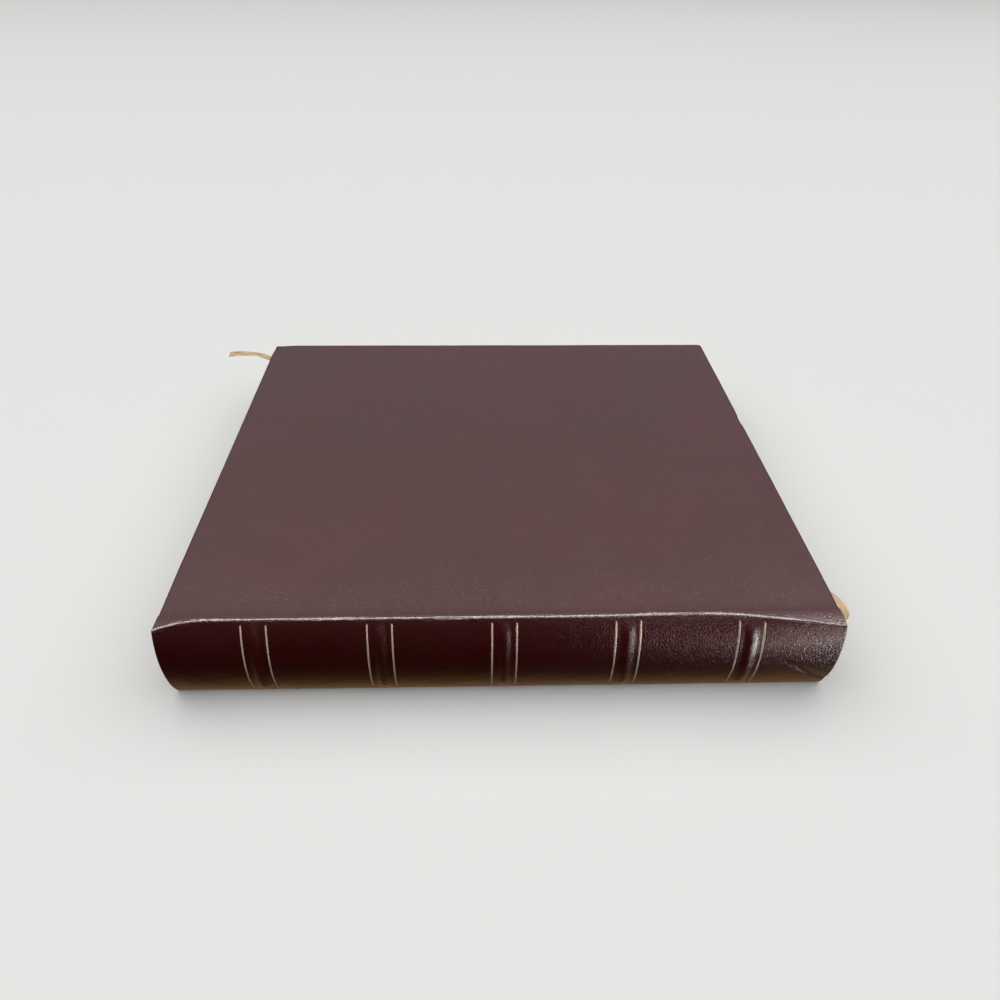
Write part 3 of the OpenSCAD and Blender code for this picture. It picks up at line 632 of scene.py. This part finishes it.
def spine_grid():
    """The whole skin of the spine leather: stations along the spine, denser over the bands and lines, and round
    each station the grain side from crease to crease and the flesh side back. Near the ends the two sides close
    towards each other in a quarter circle, which rounds the turned-in edge."""
    half = cover_high.x
    x = np.linspace(-half, half, 331)
    for place_x, width in [(b, BAND_W) for b in band_places] + [(v, LINE_W * 2.4) for v in line_places]:
        x = np.concatenate([x, np.linspace(place_x - width / 2, place_x + width / 2, 13)])
    cap = (LEATHER_T + LINER_T) / 2
    x = np.concatenate([x, half - cap * (1 - np.sin(np.linspace(0, np.pi / 2, 7))),
                        -half + cap * (1 - np.sin(np.linspace(0, np.pi / 2, 7)))])
    x = np.unique(np.round(x, 6))
    t = np.concatenate([np.linspace(-1, -0.6, 4)[:-1], np.linspace(-0.6, 0, 9)[:-1], np.linspace(0, 1, 49),
                        np.linspace(1, 1.6, 9)[1:], np.linspace(1.6, 2, 4)[1:]])
    end = np.clip((np.abs(x) - half + cap) / cap, 0, 1)
    closing = cap * (1 - np.sqrt(np.clip(1 - end**2, 0, 1)))
    groove = sum(np.exp(-(((x - v) / (LINE_W * 0.55)) ** 6)) for v in line_places)[:, None]
    deep = ease(t / 0.03) * ease((0.98 - t) / 0.05)
    wide = x[:, None] + 0 * t
    lump = LUMP * soft_noise(wide / 0.03, t * 2.2, seed=31) + FINE_LUMP * soft_noise(wide / 0.008, t * 6, seed=32)
    lump = lump * ease((half - np.abs(wide)) / 0.004) * ease((t + 1) / 0.4) * ease((2 - t) / 0.4)
    arc = arc_r * (lower_turn - upper_turn)
    (x0, t0), (x1, t1) = CREASE_FROM, CREASE_TO
    way = np.array([x1 - x0, (t1 - t0) * arc]) / np.hypot(x1 - x0, (t1 - t0) * arc)
    along = (wide - x0) * way[0] + (t - t0) * arc * way[1]
    aside = (wide - x0) * way[1] - (t - t0) * arc * way[0]
    dent = CREASE_DEPTH * np.exp(-((aside / CREASE_W) ** 2))
    dent = dent * ease(along / 0.012 + 0.3) * ease((half + 0.004 - wide) / 0.006)
    sunk = closing[:, None] + LINE_DEPTH * groove * deep + lump + dent
    grain = spine_point(wide, t, np.clip(sunk, 0, SHOULDER_R - 0.0001))
    thick = np.where(np.abs(x) > half - CAP_TURN_IN, 2 * cap, LEATHER_T)
    back = spine_point(wide, t, np.maximum(thick - closing, LEATHER_T * 0.5)[:, None])
    return np.concatenate([grain, back[:, ::-1]], axis=1)


spine = surface("spine", [spine_grid()], around=True, ends=[(0, "row", 0), (0, "row", -1)], angle=60, weld=2e-6)
spine.data.materials.append(leather)
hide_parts("spine_leather")
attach(spine, "block")

# The gilt lines: gold leaf pressed into the leather with a hot roll, a pair to each band.
# The leaf's colour varies at random between tan and pale gold.
gilt, tree, shader, place = material("gold_leaf")
wear = add(tree, "ShaderNodeTexNoise", {"Vector": place, "Scale": 1 / 0.0012, "Detail": 4.0, "Roughness": 0.7})
leaf = add(tree, "ShaderNodeValToRGB", {"Fac": wear.outputs["Fac"]})
leaf.color_ramp.elements[0].position, leaf.color_ramp.elements[0].color = 0.35, colour("#E2BC9C")
leaf.color_ramp.elements[1].position, leaf.color_ramp.elements[1].color = 0.6, colour("#FFEEDC")
tree.links.new(leaf.outputs["Color"], shader.inputs["Base Color"])
shader.inputs["Metallic"].default_value = 0.2
shader.inputs["Roughness"].default_value = 0.4
GILT_FROM, GILT_TO = 0.026, 0.965
GILT_TOP, GILT_SIDE, GILT_FOOT = 0.00008, 0.00018, 0.00024


def gilt_grid(middle):
    """One line: a flat strip in its groove, from under the upper shoulder to above the lower one, its ends round."""
    t = np.linspace(GILT_FROM, GILT_TO, 60)[:, None]
    across = np.array([-0.42, -0.36, 0.36, 0.42, 0.36, -0.36])[None, :] * LINE_W
    deep = np.array([GILT_SIDE, GILT_TOP, GILT_TOP, GILT_SIDE, GILT_FOOT, GILT_FOOT])[None, :]
    close = np.sqrt(np.clip(1 - np.abs(np.linspace(-1, 1, 60))[:, None] ** 40, 0, 1))
    wobble = 0.00004 * soft_noise(t * 7, seed=int(middle * 1e4) % 97)
    return spine_point(middle + across * close + wobble, t + 0 * across, deep + 0 * t)


gilt_lines = surface("gilding", [gilt_grid(v) for v in line_places], around=True,
                     ends=[(g, "row", i) for g in range(len(line_places)) for i in (0, -1)], angle=60, weld=1e-7)
gilt_lines.data.materials.append(gilt)
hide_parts("gilt_lines")
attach(gilt_lines, "block")

# The creases: along each hinge the leather sinks into the joint between board and spine, a
# soft furrow. It is the same skin as the spine and the cover, and lies between them.
STRIP_W = 0.0012
STRIP_SINK, STRIP_TUCK, STRIP_SHORT = 0.00004, 0.0004, 0.0003


def furrow_grid(z, way):
    """A strip across the joint that follows the furrow, its edges tucked under the spine's and the cover's, carried
    along the hinge with a thickness of half the leather's."""
    crease = shoulder_at(z) + JOINT_SET
    across = np.linspace(-1, 1, 25)
    top = np.stack([crease + across * STRIP_W,
                    z - way * (STRIP_SINK + furrow(across * STRIP_W, 0) + STRIP_TUCK * np.abs(across) ** 6)], axis=-1)
    ring = np.concatenate([top, top[::-1] - [0, way * LEATHER_T * 0.4]])
    half = cover_high.x - STRIP_SHORT
    x = np.linspace(-half, half, 80)[:, None]
    return np.stack(np.broadcast_arrays(x, ring[:, 0], ring[:, 1]), axis=-1)


for name, z, way in (("upper", ALBUM_T, 1), ("lower", 0, -1)):
    strip = surface(f"{name}_furrow", [furrow_grid(z, way)], around=True, ends=[(0, "row", 0), (0, "row", -1)])
    strip.data.materials.append(leather)
    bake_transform(strip)

# The folds of the endpapers: inside each cover the sheet runs from the flyleaf over the
# joint and up the inside of the board, in one soft fold.
FOLD_LEG = 0.007
FOLD_T = 0.00012
FOLD_IN, FOLD_SHORT = 0.0006, 0.0005


def fold_grid(name, out):
    """A folded strip: flat on the flyleaf, round the fold in a half circle and flat on the pastedown. Also the
    height of the middle of the fold, and how far it reaches above and below that."""
    fly_low, fly_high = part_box(f"{name}_flyleaf")
    paste_low, paste_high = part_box(f"{name}_pastedown")
    low_z, high_z = (fly_high.z, paste_low.z) if out > 0 else (paste_high.z, fly_low.z)
    middle, gap = (low_z + high_z) / 2, (high_z - low_z) / 2 - FOLD_T * 0.7
    turn = np.linspace(-np.pi / 2, -1.5 * np.pi, 17)
    fold_y = paste_low.y + FOLD_IN
    leg = np.linspace(FOLD_LEG, 0, 6)
    y = np.concatenate([fold_y + leg, fold_y + gap * np.cos(turn[1:-1]), fold_y + leg[::-1]])
    z = np.concatenate([np.full(6, -gap), gap * np.sin(turn[1:-1]), np.full(6, gap)])
    centre = np.stack([y, z], axis=-1)
    step = np.gradient(centre, axis=0)
    normal = np.stack([-step[:, 1], step[:, 0]], axis=-1)
    normal /= np.linalg.norm(normal, axis=1, keepdims=True)
    ring = np.concatenate([centre + normal * FOLD_T / 2, (centre - normal * FOLD_T / 2)[::-1]])
    x = np.linspace(fly_low.x + FOLD_SHORT, fly_high.x - FOLD_SHORT, 60)[:, None]
    return np.stack(np.broadcast_arrays(x, ring[:, 0], middle + ring[:, 1]), axis=-1), middle, gap


for name, out in (("upper", 1), ("lower", -1)):
    sheet, middle, gap = fold_grid(name, out)
    fold = surface(f"{name}_fold", [sheet], around=True, ends=[(0, "row", 0), (0, "row", -1)], weld=1e-7)
    fold.data.materials.append(laid_paper)
    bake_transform(fold)

# The room: a pale matt studio floor that sweeps up into a wall far behind the album on every
# side. It is left out of the gloss and the bounced light, where the dark table stands for it.
floor_paint, tree, shader, place = material("floor_paint")
shader.inputs["Base Color"].default_value = colour("#E4E4E2")
shader.inputs["Roughness"].default_value = 0.9
shader.inputs["Specular IOR Level"].default_value = 0.0
DISC_R, BEND_R, WALL_TOP = 7, 2, 6
FLOOR_DROP = 0.0002


def floor_grid():
    """A bowl turned about the upright axis: a flat disc, a quarter circle up from its rim and an upright wall."""
    bend = np.linspace(0, np.pi / 2, 13)[1:]
    far = np.concatenate([np.linspace(0.01, DISC_R, 24), DISC_R + BEND_R * np.sin(bend), [DISC_R + BEND_R]])
    rise = np.concatenate([np.zeros(24), BEND_R - BEND_R * np.cos(bend), [WALL_TOP]]) - FLOOR_DROP
    turn = np.linspace(0, 2 * np.pi, 96, endpoint=False)
    far, rise = far[:, None], rise[:, None]
    return np.stack(np.broadcast_arrays(far * np.cos(turn), far * np.sin(turn), rise), axis=-1)


floor = surface("floor", [floor_grid()], around=True, ends=[(0, "row", 0)])
if floor.data.polygons[0].normal.z < 0:
    floor.data.flip_normals()
floor.data.materials.append(floor_paint)
floor.visible_glossy = floor.visible_diffuse = floor.visible_shadow = False
floor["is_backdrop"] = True

# What the album mirrors: a sky that brightens with height behind it, darkness in front, and
# straight below it the brown of the wooden table that the pale floor stands for. The matt
# shading has none of it.
world = bpy.data.worlds.new("room")
bpy.context.scene.world = world
world.use_nodes = True
tree = world.node_tree
toward = add(tree, "ShaderNodeSeparateXYZ", {"Vector": add(tree, "ShaderNodeTexCoord").outputs["Generated"]})
height = add(tree, "ShaderNodeMapRange", {"Value": toward.outputs["Z"], "From Min": -1.0, "From Max": 1.0})
sky = add(tree, "ShaderNodeValToRGB", {"Fac": height.outputs["Result"]})
sky.color_ramp.elements[0].position, sky.color_ramp.elements[0].color = 0.05, (0.32, 0.18, 0.08, 1)
sky.color_ramp.elements[1].position, sky.color_ramp.elements[1].color = 0.925, (0.4, 0.4, 0.41, 1)
for level, light in ((0.18, (0.13, 0.07, 0.03, 1)), (0.31, (0.02, 0.01, 0.01, 1)), (0.5, (0.05, 0.05, 0.05, 1)),
                     (0.56, (0.16, 0.16, 0.165, 1)), (0.63, (0.25, 0.25, 0.255, 1)), (0.72, (0.38, 0.38, 0.39, 1)),
                     (0.7725, (0.6, 0.6, 0.61, 1)), (0.828, (0.83, 0.83, 0.85, 1))):
    sky.color_ramp.elements.new(level).color = light
behind = add(tree, "ShaderNodeMapRange", {"Value": toward.outputs["Y"], "From Min": -0.3, "From Max": 0.25,
                                          "To Min": 0.04, "To Max": 1.12})
tree.links.new(sky.outputs["Color"], tree.nodes["Background"].inputs["Color"])
tree.links.new(behind.outputs["Result"], tree.nodes["Background"].inputs["Strength"])
world.cycles_visibility.diffuse = False

# The lights: a broad panel over the room for the matt shading, and lamps seen only in the
# gloss, a strip above and one in front. The window at the right stands together with its
# mirror image in the dark table, so it reaches below the floor.


def lamp(name, place, aim, size, radiance, tint="#FFFFFF", seen="both"):
    """A soft rectangular light at place that faces aim, seen in the gloss, in the matt shading or in both. Its power
    is its radiance times pi times its area."""
    light = bpy.data.lights.new(name, "AREA")
    light.shape = "RECTANGLE"
    light.size, light.size_y = size
    light.energy = radiance * np.pi * size[0] * size[1]
    light.color = colour(tint)[:3]
    holder = bpy.data.objects.new(name, light)
    facing = (Vector(aim) - Vector(place)).to_track_quat("-Z", "Y").to_matrix().to_4x4()
    holder.matrix_world = Matrix.Translation(place) @ facing
    holder.visible_glossy = seen != "matt"
    holder.visible_diffuse = seen != "gloss"
    holder.visible_camera = False
    bpy.context.scene.collection.objects.link(holder)


lamp("overhead_strip", (0.1, -0.2, 1.5), (0.1, -0.3, 0), (2.6, 0.75), 16, seen="gloss")
lamp("front_strip", (0.42, -1.3, 1.25), (0.42, -0.2, 0), (0.5, 0.6), 3.5, seen="gloss")
lamp("window", (0.281, -0.270, -0.035), (0.121, -0.172, 0.03), (0.038, 0.16), 17, seen="gloss")
lamp("window_pane", (0.203, -0.345, -0.02), (0.15, -0.172, 0.03), (0.055, 0.15), 5, tint="#FFE9E4", seen="gloss")
lamp("ceiling_panel", (0, -1.6, 5), (0, -1.6001, 0), (17, 15), 1.36, seen="matt")

# The camera stands where the photograph was taken: 0.6 m from the spine, looking down at
# 33 degrees, a little from the left, with the camera rolled by three quarters of a degree.
CAMERA_AT = (-0.0142, -0.4962, 0.3346)
PITCH, YAW, ROLL = np.radians([33.29, -2.08, 0.735])
FOCAL_PX, FRAME_PX, SENSOR = 904, 1000, 36


def camera_turn():
    """Columns right, up and back of a camera that looks along +Y, pitched down, yawed left and rolled."""
    forward = np.array([0, np.cos(PITCH), -np.sin(PITCH)])
    right, up = np.array([1.0, 0, 0]), np.array([0, np.sin(PITCH), np.cos(PITCH)])
    turn = np.array([[np.cos(YAW), -np.sin(YAW), 0], [np.sin(YAW), np.cos(YAW), 0], [0, 0, 1]])
    forward, right, up = turn @ forward, turn @ right, turn @ up
    tilted = np.cos(ROLL) * right + np.sin(ROLL) * up
    upright = -np.sin(ROLL) * right + np.cos(ROLL) * up
    return np.stack([tilted, upright, -forward], axis=1)


camera = bpy.data.objects.new("camera", bpy.data.cameras.new("camera"))
camera.data.sensor_width = SENSOR
camera.data.lens = FOCAL_PX / FRAME_PX * SENSOR
camera.data.clip_start = 0.01
camera.matrix_world = Matrix.Translation(CAMERA_AT) @ Matrix(camera_turn().tolist()).to_4x4()
bpy.context.scene.collection.objects.link(camera)
bpy.context.scene.camera = camera
bpy.context.scene.view_settings.view_transform = "Standard"

low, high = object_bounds()
